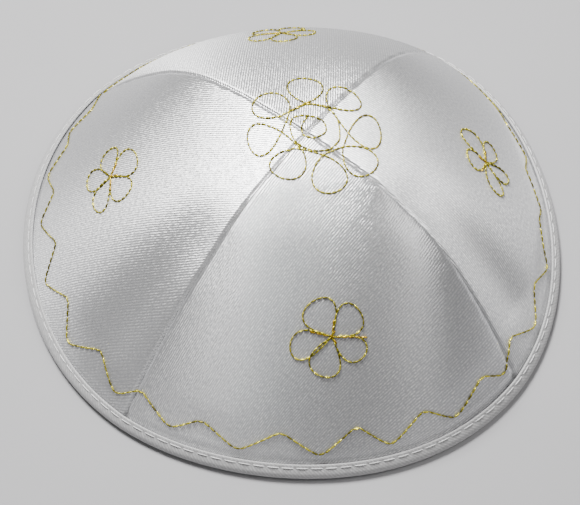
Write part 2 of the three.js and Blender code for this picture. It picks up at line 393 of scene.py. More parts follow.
LEAF_TOP = up_where(LENGTHS, BINDING_OUTSIDE)
INNER_LEAF_TOP = up_where(LENGTHS, BINDING_INSIDE)
FREE = up_where(LENGTHS, BINDING_OUTSIDE + NIP_RUN)


def cloth(azimuth, up, depth, relief=0):
    """Places at a depth below the outer face of the cloth, with its folds and a small relief."""
    azimuth, up = np.broadcast_arrays(np.asarray(azimuth, float), np.asarray(up, float))
    place, out = plain_dome(azimuth, up), outwards(azimuth, up)
    raised = fold_rise(place, up) - BINDING_NIP * (1 - smoothstep(up, LEAF_TOP, FREE)) + relief
    across = plain_dome(azimuth + SIDE_STEP, up) - plain_dome(azimuth - SIDE_STEP, up)
    square = np.cross(across, climb(azimuth, up))
    size = np.maximum(np.linalg.norm(square, axis=-1), 1e-12)
    slant = np.where(up < 1, np.maximum(dot(square, out) / size, math.sqrt(0.5)), 1)
    return place + out * (raised - depth / slant)[..., None]


FOLD_RADIUS = PANEL_WALL / 2 + BINDING_CLEARANCE + BINDING_WALL
FOLD_FLAT = math.radians(25)
FOLD_HEIGHT = FOLD_RADIUS * math.cos(FOLD_FLAT)
FOOT = up_where(HEIGHTS, FOLD_HEIGHT + (PANEL_WALL / 2 + BINDING_NIP) * outwards(0, 0)[2])


def surface_noise(places, length):
    """Smooth noise from about -0.5 to 0.5, whose lumps are about that length across."""
    flat = places.reshape(-1, 3) / length
    return np.array([noise.noise(Vector(place)) for place in flat]).reshape(places.shape[:-1])


def uneven_wave(run, pitch, sway, beat, start=0.0):
    """A wave of about that pitch that hurries and lags, as hand-gathered cloth does."""
    return np.sin(2 * math.pi * run / pitch + sway * np.sin(run / pitch / beat) + start)


def seam_pucker(azimuth, up, seam_azimuth, pucker):
    """Relief beside one seam: the cloth's edge turns down into it, and gathers along it."""
    away = np.abs(np.radians(azimuth - seam_azimuth)) * section_at(up)[1]
    wave = uneven_wave(length_at(up), **SEAM_PUCKER_WAVE, start=seam_azimuth)
    rolled = -SEAM_ROLL * np.exp(-((away / SEAM_ROLL_WIDTH) ** 2))
    return rolled + pucker * wave * np.exp(-away / SEAM_PUCKER_WIDTH)


def cloth_relief(panel, azimuth, up):
    """The panel's small unevenness: its seams, its pull at the binding and its slack."""
    azimuth, up = np.broadcast_arrays(azimuth, up)
    rolled = seam_pucker(azimuth, up, panel["from"], panel["pucker"])
    rolled = np.minimum(rolled, seam_pucker(azimuth, up, panel["to"], SEAM_PUCKER))
    above_tape = np.maximum(length_at(up) - BINDING_OUTSIDE, 0)
    gather = uneven_wave(np.radians(azimuth) * RIM_RADIUS, **RIM_PUCKER_WAVE)
    gathered = RIM_PUCKER * gather * np.exp(-above_tape / RIM_PUCKER_WIDTH)
    place = plain_dome(azimuth, up)
    slack = SLACK * surface_noise(place, SLACK_LENGTH) * smoothstep(up, LEAF_TOP, FOLDS_FULL)
    return rolled + gathered * smoothstep(up, LEAF_TOP, FREE) + slack


# Meshes.


def grid_mesh(name, points, uv, closed_rows, material):
    """A piece from a grid of points in millimetres. Each row closes into a ring, and the last
    row joins the first where closed_rows says so. uv holds the cloth coordinates of the grid's
    corners, one more along each closed way than there are points, so that none wraps back."""
    rows, columns = points.shape[:2]
    row, column = np.meshgrid(np.arange(rows - 1 + closed_rows), np.arange(columns), indexing="ij")
    corners = ((row, column), (row, column + 1), (row + 1, column + 1), (row + 1, column))
    faces = np.stack([(r % rows) * columns + c % columns for r, c in corners], axis=-1).reshape(-1, 4)
    places = np.stack([uv[r, c] for r, c in corners], axis=2).reshape(-1, 2)
    mesh = bpy.data.meshes.new(name)
    mesh.from_pydata(((points.reshape(-1, 3) + SHIFT) * MM).tolist(), [], faces.tolist())
    mesh.uv_layers.new(name=CLOTH_MAP).data.foreach_set("uv", places.astype(np.float32).ravel())
    tidy = bmesh.new()
    tidy.from_mesh(mesh)
    bmesh.ops.remove_doubles(tidy, verts=tidy.verts, dist=MERGE * MM)
    tidy.to_mesh(mesh)
    tidy.free()
    mesh.shade_smooth()
    mesh.set_sharp_from_angle(angle=math.radians(SHARP_ANGLE))
    return finished(name, mesh, material)


def in_scene(name, data):
    holder = bpy.data.objects.new(name, data)
    bpy.context.scene.collection.objects.link(holder)
    return holder


def finished(name, mesh, material):
    """The mesh as a piece of the cap, with its material."""
    if not mesh.materials:
        mesh.materials.append(material)
    piece = in_scene(name, mesh)
    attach(piece, "root")
    return piece


def straight_grain(azimuth, up, panel):
    """Distances across the panel and up its middle, with the weave straight from edge to edge."""
    angle = np.radians(azimuth - (panel["from"] + panel["to"]) / 2)
    half = math.radians(panel["to"] - panel["from"]) / 2
    _, seam, middle = section_at(up)
    radius = section_radius(angle, half, seam, middle)
    inwards = radius * np.cos(angle)
    return radius * np.sin(angle), np.interp(inwards, MIDDLE_RADII[::-1], MIDDLE_LENGTHS[::-1])


def make_panel(panel, material):
    """One panel: its outer face, its edges and its inner face as one closed skin."""
    hem = np.linspace(FOOT, LEAF_TOP, HEM_ROWS, endpoint=False)
    pulled = np.linspace(LEAF_TOP, FREE, PULL_ROWS, endpoint=False)
    ups = np.concatenate([hem, pulled, np.linspace(FREE, 1, PANEL_ROWS)])[:, None]
    even = np.linspace(0, 1, PANEL_COLUMNS)
    shares = (1 - EDGE_CROWDING) * even + EDGE_CROWDING * (1 - np.cos(math.pi * even)) / 2
    seam_radius = np.maximum(section_at(ups)[1], PANEL_GAP)
    trim = np.degrees(np.arcsin(PANEL_GAP / 2 / seam_radius))
    azimuth = panel["from"] + trim + shares * (panel["to"] - panel["from"] - 2 * trim)
    relief = cloth_relief(panel, azimuth, ups)
    outer, inner = cloth(azimuth, ups, 0, relief), cloth(azimuth, ups, PANEL_WALL, relief)
    middle = (panel["from"] + panel["to"]) / 2
    clear = PANEL_GAP / 2 / math.sin(math.radians(panel["to"] - panel["from"]) / 2)
    aside = clear * np.array([math.cos(math.radians(middle)), math.sin(math.radians(middle)), 0])
    for layer, depth in ((outer, 0), (inner, PANEL_WALL)):
        layer[-1] = cloth(middle, 1, depth, relief[-1].min()) + aside
    ring = np.concatenate([outer, inner[:, ::-1]], axis=1)
    hem_line = (outer[:1] + inner[:1]) / 2
    ring = np.concatenate([np.concatenate([hem_line, hem_line[:, ::-1]], axis=1), ring])
    across, rise = straight_grain(azimuth, ups, panel)
    turn = math.radians(panel["grain"])
    flat = np.stack([across, rise], axis=-1)
    flat = flat @ np.array([[math.cos(turn), -math.sin(turn)], [math.sin(turn), math.cos(turn)]])
    uv = np.concatenate([flat, flat[:, ::-1], flat[:, :1]], axis=1)
    uv = np.concatenate([uv[:1], uv])
    piece = grid_mesh("satin_" + panel["node"], ring, uv, False, material)
    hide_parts(panel["node"])
    weft = math.radians(middle + 90 + panel["grain"])
    directions = np.tile([math.cos(weft), math.sin(weft), 0], len(piece.data.vertices))
    piece.data.attributes.new(WEFT, "FLOAT_VECTOR", "POINT").data.foreach_set("vector", directions)
    return outer


# The tape.


def path_lengths(path):
    return np.concatenate([[0], np.cumsum(np.linalg.norm(np.diff(path, axis=0), axis=1))])


RIM_AZIMUTHS = np.linspace(0, 360, TAPE_COLUMNS + 1)
RIM_RUN = path_lengths(plain_dome(RIM_AZIMUTHS, FOOT))
RIM_LENGTH = RIM_RUN[-1]
TOPSTITCHES = round(RIM_LENGTH / TOPSTITCH_PITCH)


def tape_leaf(azimuth, up, depth, stand, way):
    return cloth(azimuth, up, depth) + outwards(azimuth, up) * stand * way


def tape_frame(azimuth):
    """The middle of the tape's fold, the level way out, and the leaf's slant there."""
    out = outwards(azimuth, FOOT)
    level = unit(out * np.array([1, 1, 0]))
    slant = np.arctan2(out[..., 2], dot(out, level))
    middle = cloth(azimuth, FOOT, PANEL_WALL / 2)
    middle[..., 2] = FOLD_HEIGHT
    return middle, level, slant


def arc_points(middle, level, radius, angles):
    """Points round the tape's fold at those angles, one row for each azimuth."""
    cos, sin = np.cos(angles)[..., None], np.sin(angles)[..., None]
    return middle[:, None] + radius * (level[:, None] * cos + UPRIGHT * sin)


def between(start, end, count):
    """Angles from start to end, where each may be one number or one for each azimuth."""
    share = np.linspace(0, 1, count)
    start, end = np.broadcast_arrays(np.atleast_1d(start)[:, None], np.atleast_1d(end)[:, None])
    return start + (end - start) * share


def rounded_top(azimuth, up, depth, way):
    """The tape's folded upper edge on one side: half a round from its outer to its inner face."""
    near = tape_leaf(azimuth, up, depth, BINDING_CLEARANCE + BINDING_WALL, way)
    far = tape_leaf(azimuth, up, depth, BINDING_CLEARANCE, way)
    rise = unit(climb(azimuth, up))
    middle = (near + far) / 2 - rise * BINDING_WALL / 2
    angles = np.linspace(0, math.pi, EDGE_POINTS)
    side = (near - far) / 2
    return middle[:, None] + side[:, None] * np.cos(angles)[:, None] + (
        rise[:, None] * np.sin(angles)[:, None] * BINDING_WALL / 2
    )


def down_leaf(top, foot, way_out, along, count):
    """The tape's face from its rounded edge down to its fold, drawn in along the stitches."""
    share = np.linspace(0, 1, count + 2)[1:-1]
    face = top[:, None] + (foot - top)[:, None] * share[:, None]
    below = share * np.linalg.norm(foot - top, axis=-1).mean() + BINDING_WALL / 2
    line = np.exp(-(((below - TOPSTITCH_BELOW_EDGE) / STITCH_SINK_WIDTH) ** 2))
    pull = 1 - STITCH_PULL + STITCH_PULL * np.cos(2 * math.pi * TOPSTITCHES * along / RIM_LENGTH)
    swell = np.clip((below - TOPSTITCH_BELOW_EDGE) / TAPE_PUFF_WIDTH, 0, 1)
    puff = TAPE_PUFF * np.sin(math.pi * swell)
    raised = puff - STITCH_SINK * line * pull[:, None]
    return face + way_out[:, None] * raised[..., None]


def tape_rings(azimuth, along):
    """The tape's closed section at each azimuth: outer face, fold, inner face and back between."""
    middle, level, slant = tape_frame(azimuth)
    outer_top = rounded_top(azimuth, LEAF_TOP, 0, 1)
    inner_top = rounded_top(azimuth, INNER_LEAF_TOP, PANEL_WALL, -1)
    flat_outer, flat_inner = FOLD_FLAT - math.pi / 2, -FOLD_FLAT - math.pi / 2
    under = [
        arc_points(middle, level, FOLD_RADIUS, between(slant, flat_outer, FOLD_POINTS)),
        arc_points(middle, level, FOLD_RADIUS, between(flat_inner, slant - math.pi, FOLD_POINTS)),
    ]
    back = between(slant - math.pi, slant, 2 * FOLD_POINTS)
    within = arc_points(middle, level, FOLD_RADIUS - BINDING_WALL, back)
    out = outwards(azimuth, LEAF_TOP)
    return np.concatenate(
        [
            down_leaf(outer_top[:, 0], under[0][:, 0], out, along, LEAF_POINTS),
            *under,
            down_leaf(inner_top[:, 0], under[1][:, -1], -out, along, LEAF_POINTS)[:, ::-1],
            inner_top,
            within,
            outer_top[:, ::-1],
        ],
        axis=1,
    )


def make_tape(material):
    """The folded tape all round the rim, as one closed skin."""
    rings = tape_rings(RIM_AZIMUTHS[:-1], RIM_RUN[:-1])
    around = np.linalg.norm(np.roll(rings, -1, axis=1) - rings, axis=-1).mean(axis=0)
    across = np.concatenate([[0], np.cumsum(around)])
    uv = np.stack(np.meshgrid(RIM_RUN, across, indexing="ij"), axis=-1)
    piece = grid_mesh("satin_bias_binding", rings, uv, True, material)
    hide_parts("rim_binding")


# Paths of thread, in millimetres.


def at_lengths(path, lengths):
    measured = path_lengths(path)
    return np.stack([np.interp(lengths, measured, axis) for axis in path.T], axis=-1)


def resampled(path, step):
    """Points evenly spaced along a path, as close to the step as a whole number allows."""
    whole = path_lengths(path)[-1]
    return at_lengths(path, np.linspace(0, whole, max(2, round(whole / step) + 1)))


def softened(path, width):
    """The path with its corners rounded over about that width, its ends kept."""
    even = resampled(path, PATH_STEP)
    reach = round(width / PATH_STEP)
    window = np.hanning(2 * reach + 3)[1:-1]
    padded = np.pad(even, ((reach, reach), (0, 0)), mode="edge")
    columns = [np.convolve(column, window / window.sum(), mode="valid") for column in padded.T]
    return np.stack(columns, axis=-1)


def petal(direction, length, width, lean, belly=PETAL_BELLY):
    """A looped petal that starts and ends at the origin, in the plane of the cloth."""
    turn = np.linspace(0, 2 * math.pi, PETAL_POINTS)
    along = length * (1 - np.cos(turn)) / 2
    across = np.sin(turn) * np.abs(np.sin(turn / 2)) ** belly
    across = across / np.abs(across).max() * width / 2 + lean * (along / length) ** 2
    cos, sin = math.cos(math.radians(direction)), math.sin(math.radians(direction))
    return np.stack([cos * along - sin * across, sin * along + cos * across], axis=-1)


def polar(direction, distance):
    return distance * np.array([math.cos(math.radians(direction)), math.sin(math.radians(direction))])


def flower_runs(flower):
    """Its five petals, each from the middle and back, and the runs that fasten the thread."""
    petals = [petal(*row) for row in flower["petals"]]
    fastened = [
        np.array([polar(direction + 180, FASTENED_OVER), polar(direction, reach)])
        for direction, reach in flower["fastened"]
    ]
    return petals, fastened


def rosette_path():
    """The chain of loops, a second run along part of its back, then the winding middle."""
    loops = [polar(*place) + petal(*row) for place, row in ROSETTE_LOOPS]
    chain = softened(np.concatenate([*loops, loops[0][:1]]), ROSETTE_ROUNDING)
    doubled = np.array([polar(*ROSETTE_LOOPS[index][0]) for index in DOUBLED_LOOPS])
    second = softened(doubled, ROSETTE_ROUNDING)
    ring = softened(np.array([RING_CENTRE + polar(*row) for row in RING_WINDS]), ROSETTE_ROUNDING)
    return chain, second, ring


def zigzag_corners():
    """Azimuths and lengths up the cloth of all its corners, once round and back to the first."""
    corners = np.reshape(ZIGZAG, (-1, 2)).tolist()
    first, last = corners[0][0] + 360, corners[-1][0]
    pitch = (first - last) / (2 * HIDDEN_TEETH + 1)
    for step in range(1, 2 * HIDDEN_TEETH + 1):
        corners.append((last + step * pitch, HIDDEN_LOW if step % 2 else HIDDEN_HIGH))
    return np.array([*corners, (first, corners[0][1])])


def zigzag_path():
    corners = zigzag_corners()
    share = np.linspace(0, len(corners) - 1, ZIGZAG_POINTS)
    azimuth = np.interp(share, np.arange(len(corners)), corners[:, 0])
    length = np.interp(share, np.arange(len(corners)), corners[:, 1])
    return softened(plain_dome(azimuth, up_where(LENGTHS, length)), ZIGZAG_ROUNDING)


# Thread laid on the cloth.


def cloth_surface(outers):
    """A search tree over the panels' outer faces."""
    places, faces = [], []
    for outer in outers:
        rows, columns = outer.shape[:2]
        start = sum(len(block) for block in places)
        index = start + np.arange(rows * columns).reshape(rows, columns)
        quads = (index[:-1, :-1], index[:-1, 1:], index[1:, 1:], index[1:, :-1])
        faces.append(np.stack(quads, axis=-1).reshape(-1, 4))
        places.append(outer.reshape(-1, 3))
    return BVHTree.FromPolygons(np.concatenate(places).tolist(), np.concatenate(faces).tolist())


def laid(surface, path):
    """The path's points moved onto the cloth, with the way out of the cloth at each."""
    found = [surface.find_nearest(Vector(point)) for point in path]
    places = np.array([place for place, *_ in found])
    return places, np.array([out for _, out, *_ in found])


def dropped(surface, flat, azimuth, up):
    """A flat pattern laid on the cloth from the plane that touches it at one place."""
    step = plain_dome(azimuth + SIDE_STEP, up) - plain_dome(azimuth - SIDE_STEP, up)
    rise = unit(climb(azimuth, up))
    out = unit(np.cross(step, rise))
    side = np.cross(rise, out)
    return from_plane(surface, flat, plain_dome(azimuth, up), side, rise, out)


def from_plane(surface, flat, origin, side, rise, out):
    points = origin + flat[:, :1] * side + flat[:, 1:] * rise
    found = [surface.ray_cast(Vector(point + out * DROP_HEIGHT), Vector(-out))[0] for point in points]
    missed = [surface.find_nearest(Vector(point))[0] for point in points]
    return np.array([near if hit is None else hit for hit, near in zip(found, missed)])


def stitch_rows(place, out, spans, layered=0.0):
    """Stitches by their middles, ways out and spans, and how much they lie over other thread."""
    return {
        "place": place,
        "out": out,
        "along": unit(spans),
        "length": np.linalg.norm(spans, axis=1),
        "layered": np.full(len(spans), layered),
    }


def stitches_on(surface, path, step, layered=0.0):
    """Stitches end to end along a path."""
    ends, _ = laid(surface, resampled(path, step))
    middles, out = laid(surface, (ends[1:] + ends[:-1]) / 2)
    return stitch_rows(middles, out, np.diff(ends, axis=0), layered)


def joined(rows):
    return {key: np.concatenate([row[key] for row in rows]) for key in rows[0]}


def flower_stitches(surface, flower):
    rows = []
    for layered, runs in enumerate(flower_runs(flower)):
        for run in runs:
            path = dropped(surface, run, flower["azimuth"], up_where(HEIGHTS, FLOWER_HEIGHT))
            rows.append(stitches_on(surface, path, PETAL_STITCH, layered))
    return joined(rows)


def rosette_stitches(surface):
    """The rosette lies on the crown as seen from straight above."""
    rows = []
    for run, layered in zip(rosette_path(), (0.0, 1.0, 0.0)):
        path = from_plane(surface, run, plain_dome(0, 1), *np.eye(3))
        rows.append(stitches_on(surface, path, PETAL_STITCH, layered))
    return joined(rows)


def topstitches(rings, leaf_width, depth, way):
    """The row of stitches below the upper edge of one of the tape's leaves."""
    face = cloth_surface([np.concatenate([rings, rings[:1]])])
    up = up_where(LENGTHS, leaf_width - TOPSTITCH_BELOW_EDGE)
    pitch = RIM_LENGTH / TOPSTITCHES
    starts = (np.arange(TOPSTITCHES) + TOPSTITCH_GAP / 2) * pitch
    ends = starts + (1 - TOPSTITCH_GAP) * pitch
    lines = []
    for runs_at in (starts, (starts + ends) / 2, ends):
        azimuth = np.interp(runs_at, RIM_RUN, RIM_AZIMUTHS)
        line = tape_leaf(azimuth, up, depth, BINDING_CLEARANCE + BINDING_WALL, way)
        lines.append(laid(face, line))
    return stitch_rows(*lines[1], lines[2][0] - lines[0][0])


def seam_stitches():
    """Small stitches deep in the four seams, from the binding to the crown."""
    rows = []
    lengths = np.arange(BINDING_OUTSIDE + SEAM_STITCH, LENGTHS[-1] - SEAM_STITCH, SEAM_STITCH)
    ups = up_where(LENGTHS, lengths)
    for panel in PANELS:
        azimuth = np.full(len(ups), panel["from"])
        side = plain_dome(azimuth + SIDE_STEP, ups) - plain_dome(azimuth - SIDE_STEP, ups)
        place = cloth(azimuth, ups, SEAM_STITCH_DEPTH, cloth_relief(panel, azimuth, ups))
        rows.append(stitch_rows(place, outwards(azimuth, ups), unit(side) * SEAM_STITCH_LENGTH))
    return joined(rows)


# Stitches.


def socket(sockets, key):
    """The socket of that name that the node's settings leave in use, or of that number."""
    return sockets[key] if isinstance(key, int) else next(s for s in sockets if s.name == key and s.enabled)


def add_node(tree, kind, inputs=None, **settings):
    """A node with its settings and what feeds it."""
    node = tree.nodes.new(kind)
    for key, value in settings.items():
        setattr(node, key, value)
    feed(tree, node, inputs or {})
    return node


def feed(tree, node, inputs):
    """Gives a node's inputs values, sockets that feed them, or nodes that feed them by the
    first output that their settings leave in use."""
    for key, value in inputs.items():
        if isinstance(value, bpy.types.Node):
            value = next(output for output in value.outputs if output.enabled)
        if isinstance(value, bpy.types.NodeSocket):
            tree.links.new(value, socket(node.inputs, key))
        else:
            socket(node.inputs, key).default_value = value


def stitch_tree():
    """A stitch of twisted thread on each point, along one attribute and standing out along
    another: its middle stands off the cloth and its ends dive into it."""
    tree = bpy.data.node_groups.new("stitches_of_twisted_thread", "GeometryNodeTree")
    face = tree.interface
    face.new_socket("Points", in_out="INPUT", socket_type="NodeSocketGeometry")
    for name in ("Thread Radius", "Middle Height", "End Depth", "Twist"):
        face.new_socket(name, in_out="INPUT", socket_type="NodeSocketFloat")
    face.new_socket("Seed", in_out="INPUT", socket_type="NodeSocketInt")
    face.new_socket("Thread", in_out="INPUT", socket_type="NodeSocketMaterial")
    face.new_socket("Stitches", in_out="OUTPUT", socket_type="NodeSocketGeometry")
    given = add_node(tree, "NodeGroupInput").outputs
    stands, dives = given["Middle Height"], given["End Depth"]

    # How near a ring is to either end of the stitch: 0 at the middle, 1 at the ends.
    share = add_node(tree, "GeometryNodeSplineParameter")
    side = add_node(tree, "ShaderNodeMath", {0: share, 1: 2.0, 2: -1.0}, operation="MULTIPLY_ADD")
    away = add_node(tree, "ShaderNodeMath", {0: side}, operation="ABSOLUTE")
    end = add_node(tree, "ShaderNodeMath", {0: away, 1: STITCH_SHOULDER}, operation="POWER")

    # The thread's middle line arches, and turns about itself.
    line = add_node(tree, "GeometryNodeCurvePrimitiveLine", {"Start": (-0.5, 0, 0), "End": (0.5, 0, 0)})
    steps = add_node(tree, "GeometryNodeResampleCurve", {"Curve": line, "Count": STITCH_RINGS})
    drop = add_node(tree, "ShaderNodeMath", {0: stands, 1: dives}, operation="ADD")
    fall = add_node(tree, "ShaderNodeMath", {0: end, 1: drop}, operation="MULTIPLY")
    height = add_node(tree, "ShaderNodeMath", {0: stands, 1: fall}, operation="SUBTRACT")
    offset = add_node(tree, "ShaderNodeCombineXYZ", {"Z": height})
    arched = add_node(tree, "GeometryNodeSetPosition", {"Geometry": steps, "Offset": offset})
    turn = add_node(tree, "ShaderNodeMath", {0: share, 1: given["Twist"]}, operation="MULTIPLY")
    twisted = add_node(tree, "GeometryNodeSetCurveTilt", {"Curve": arched, "Tilt": turn})

    # Its section is a flattened round that thins towards the ends.
    thin = add_node(tree, "ShaderNodeMath", {0: end, 1: -STITCH_TAPER, 2: 1.0}, operation="MULTIPLY_ADD")
    thick = add_node(tree, "ShaderNodeMath", {0: given["Thread Radius"], 1: thin}, operation="MULTIPLY")
    ring = add_node(tree, "GeometryNodeCurvePrimitiveCircle", {"Resolution": STITCH_SIDES, "Radius": 1.0})
    profile = add_node(tree, "GeometryNodeTransform", {"Geometry": ring, "Scale": (1, PLY_SHARE, 1)})
    skin = {"Curve": twisted, "Profile Curve": profile, "Scale": thick, "Fill Caps": True}
    body = add_node(tree, "GeometryNodeCurveToMesh", skin)

    # One stitch for each point, turned along the thread and out of the cloth.
    along = add_node(tree, "GeometryNodeInputNamedAttribute", {"Name": "along"}, data_type="FLOAT_VECTOR")
    out = add_node(tree, "GeometryNodeInputNamedAttribute", {"Name": "out"}, data_type="FLOAT_VECTOR")
    length = add_node(tree, "GeometryNodeInputNamedAttribute", {"Name": "length"}, data_type="FLOAT")
    aimed = add_node(tree, "FunctionNodeAlignRotationToVector", {"Vector": along}, axis="X")
    upright = {"Rotation": aimed, "Vector": out}
    rotation = add_node(tree, "FunctionNodeAlignRotationToVector", upright, axis="Z", pivot_axis="X")
    size = add_node(tree, "ShaderNodeCombineXYZ", {"X": length, "Y": 1.0, "Z": 1.0})
    placed = {"Points": given["Points"], "Instance": body, "Rotation": rotation, "Scale": size}
    copies = add_node(tree, "GeometryNodeInstanceOnPoints", placed)
    # A random value for each stitch: the white thread's tone, and which gold stitches get painted glints.
    chance = add_node(tree, "FunctionNodeRandomValue", {"Seed": given["Seed"]}, data_type="FLOAT")
    tone_and_glint = {"Geometry": copies, "Name": "tone_and_glint", "Value": chance}
    toned = add_node(tree, "GeometryNodeStoreNamedAttribute", tone_and_glint, data_type="FLOAT", domain="INSTANCE")
    real = add_node(tree, "GeometryNodeRealizeInstances", {"Geometry": toned})
    smooth = add_node(tree, "GeometryNodeSetShadeSmooth", {"Geometry": real})
    dyed = add_node(tree, "GeometryNodeSetMaterial", {"Geometry": smooth, "Material": given["Thread"]})
    add_node(tree, "NodeGroupOutput", {0: dyed})
    return tree


def sew(name, tree, rows, thread, material, seed):
    """One piece of stitches from their places, through the tree and into a plain mesh."""
    points = bpy.data.meshes.new(name + "_places")
    points.from_pydata(((rows["place"] + SHIFT) * MM).tolist(), [], [])
    for key in ("along", "out"):
        directions = rows[key].astype(np.float32).ravel()
        points.attributes.new(key, "FLOAT_VECTOR", "POINT").data.foreach_set("vector", directions)
    for key, scale in (("length", MM), ("layered", 1)):
        values = (rows[key] * scale).astype(np.float32)
        points.attributes.new(key, "FLOAT", "POINT").data.foreach_set("value", values)
    holder = in_scene(name + "_places", points)
    modifier = holder.modifiers.new("stitches", "NODES")
    modifier.node_group = tree
    given = {
        "Thread Radius": thread["width"] / 2 * MM,
        "Middle Height": thread["stands"] * MM,
        "End Depth": thread["dives"] * MM,
        "Twist": thread["twist"] * 2 * math.pi,
        "Seed": seed,
        "Thread": material,
    }
    for item in tree.interface.items_tree:
        if item.name in given:
            modifier[item.identifier] = given[item.name]
    sewn = holder.evaluated_get(bpy.context.evaluated_depsgraph_get())
    mesh = bpy.data.meshes.new_from_object(sewn)
    mesh.name = name
    bpy.data.objects.remove(holder)
    finished(name, mesh, material)


# Materials.


def linear(code):
    """An sRGB hex colour as linear RGBA."""
    channels = [int(code[start : start + 2], 16) / 255 for start in (1, 3, 5)]
    bent = [c / 12.92 if c <= 0.04045 else ((c + 0.055) / 1.055) ** 2.4 for c in channels]
    return (*bent, 1)


def plain_material(name):
    """A new material, its node tree and its shader, which is joined to its output."""
    material = bpy.data.materials.new(name)
    material.use_nodes = True
    tree = material.node_tree
    tree.nodes.clear()
    shader = add_node(tree, "ShaderNodeBsdfPrincipled")
    add_node(tree, "ShaderNodeOutputMaterial", {"Surface": shader})
    return material, tree, shader


def twill_field(tree, angle, pitch, float_length):
    """Woven lines at an angle to the weft, and the uneven floats that break them up."""
    cloth_uv = add_node(tree, "ShaderNodeUVMap", uv_map=CLOTH_MAP)
    turn = {"Vector": cloth_uv, "Angle": math.radians(90 - angle)}
    lined_up = add_node(tree, "ShaderNodeVectorRotate", turn, rotation_type="Z_AXIS")
    bands = {"Vector": lined_up, "Scale": WAVE_PERIOD / pitch, "Distortion": 0.8, "Detail": 1.0,
             "Detail Scale": 1.5}
    lines = add_node(tree, "ShaderNodeTexWave", bands, wave_type="BANDS", bands_direction="X")
    drawn_out = {"Vector": lined_up, "Scale": (1 / pitch, 1 / float_length, 1)}
    stretched = add_node(tree, "ShaderNodeMapping", drawn_out)
    uneven = add_node(tree, "ShaderNodeTexNoise", {"Vector": stretched, "Scale": 1.4, "Detail": 1.0})
    floats = add_node(tree, "ShaderNodeMapRange", {"Value": uneven, "From Min": 0.3, "From Max": 0.7})
    return lines.outputs["Fac"], floats


def satin_material():
    """White polyester satin: long weft floats give it a bright silky band where the light
    crosses them and leave it grey elsewhere, with the fine slanting lines of its weave."""
    material, tree, shader = plain_material("white_polyester_satin")
    lines, floats = twill_field(tree, SATIN_ANGLE, SATIN_PITCH, SATIN_FLOAT)
    shine = add_node(tree, "ShaderNodeMath", {0: lines, 1: floats}, operation="MULTIPLY")
    relief = add_node(tree, "ShaderNodeMath", {0: lines, 1: floats}, operation="ADD")
    colours = {"Factor": shine, "A": linear("#c0c1c4"), "B": linear("#ffffff")}
    smoothness = {"Value": floats, "To Min": 0.34, "To Max": 0.43}
    ridges = {"Height": relief, "Strength": 0.55, "Distance": SATIN_RELIEF * MM}
    weft = add_node(tree, "ShaderNodeAttribute", attribute_name=WEFT, attribute_type="GEOMETRY")
    finish = {
        "Base Color": add_node(tree, "ShaderNodeMix", colours, data_type="RGBA"),
        "Metallic": add_node(tree, "ShaderNodeMapRange", {"Value": shine, "To Min": 0.72}),
        "Roughness": add_node(tree, "ShaderNodeMapRange", smoothness),
        "Normal": add_node(tree, "ShaderNodeBump", ridges),
        "Tangent": weft.outputs["Vector"],
        "Anisotropic": 0.9,
        "Anisotropic Rotation": 0.25,
        "Sheen Weight": 0.2,
        "Sheen Roughness": 0.4,
    }
    feed(tree, shader, finish)
    return material


def binding_material():
    """Satin bias tape, folded and pressed: greyer and softer than the panels, its weave's
    lines slanting across it."""
    material, tree, shader = plain_material("white_satin_bias_tape")
    lines, floats = twill_field(tree, TAPE_ANGLE, TAPE_PITCH, SATIN_FLOAT)
    shine = add_node(tree, "ShaderNodeMath", {0: lines, 1: floats}, operation="MULTIPLY")
    colours = {"Factor": shine, "A": linear("#a6a6a7"), "B": linear("#c6c6c7")}
    smoothness = {"Value": floats, "To Min": 0.5, "To Max": 0.62}
    ridges = {"Height": lines, "Strength": 0.6, "Distance": SATIN_RELIEF * MM}
    finish = {
        "Base Color": add_node(tree, "ShaderNodeMix", colours, data_type="RGBA"),
        "Metallic": 0.12,
        "Roughness": add_node(tree, "ShaderNodeMapRange", smoothness),
        "Normal": add_node(tree, "ShaderNodeBump", ridges),
        "Sheen Weight": 0.15,
        "Sheen Roughness": 0.4,
    }
    feed(tree, shader, finish)
    return material


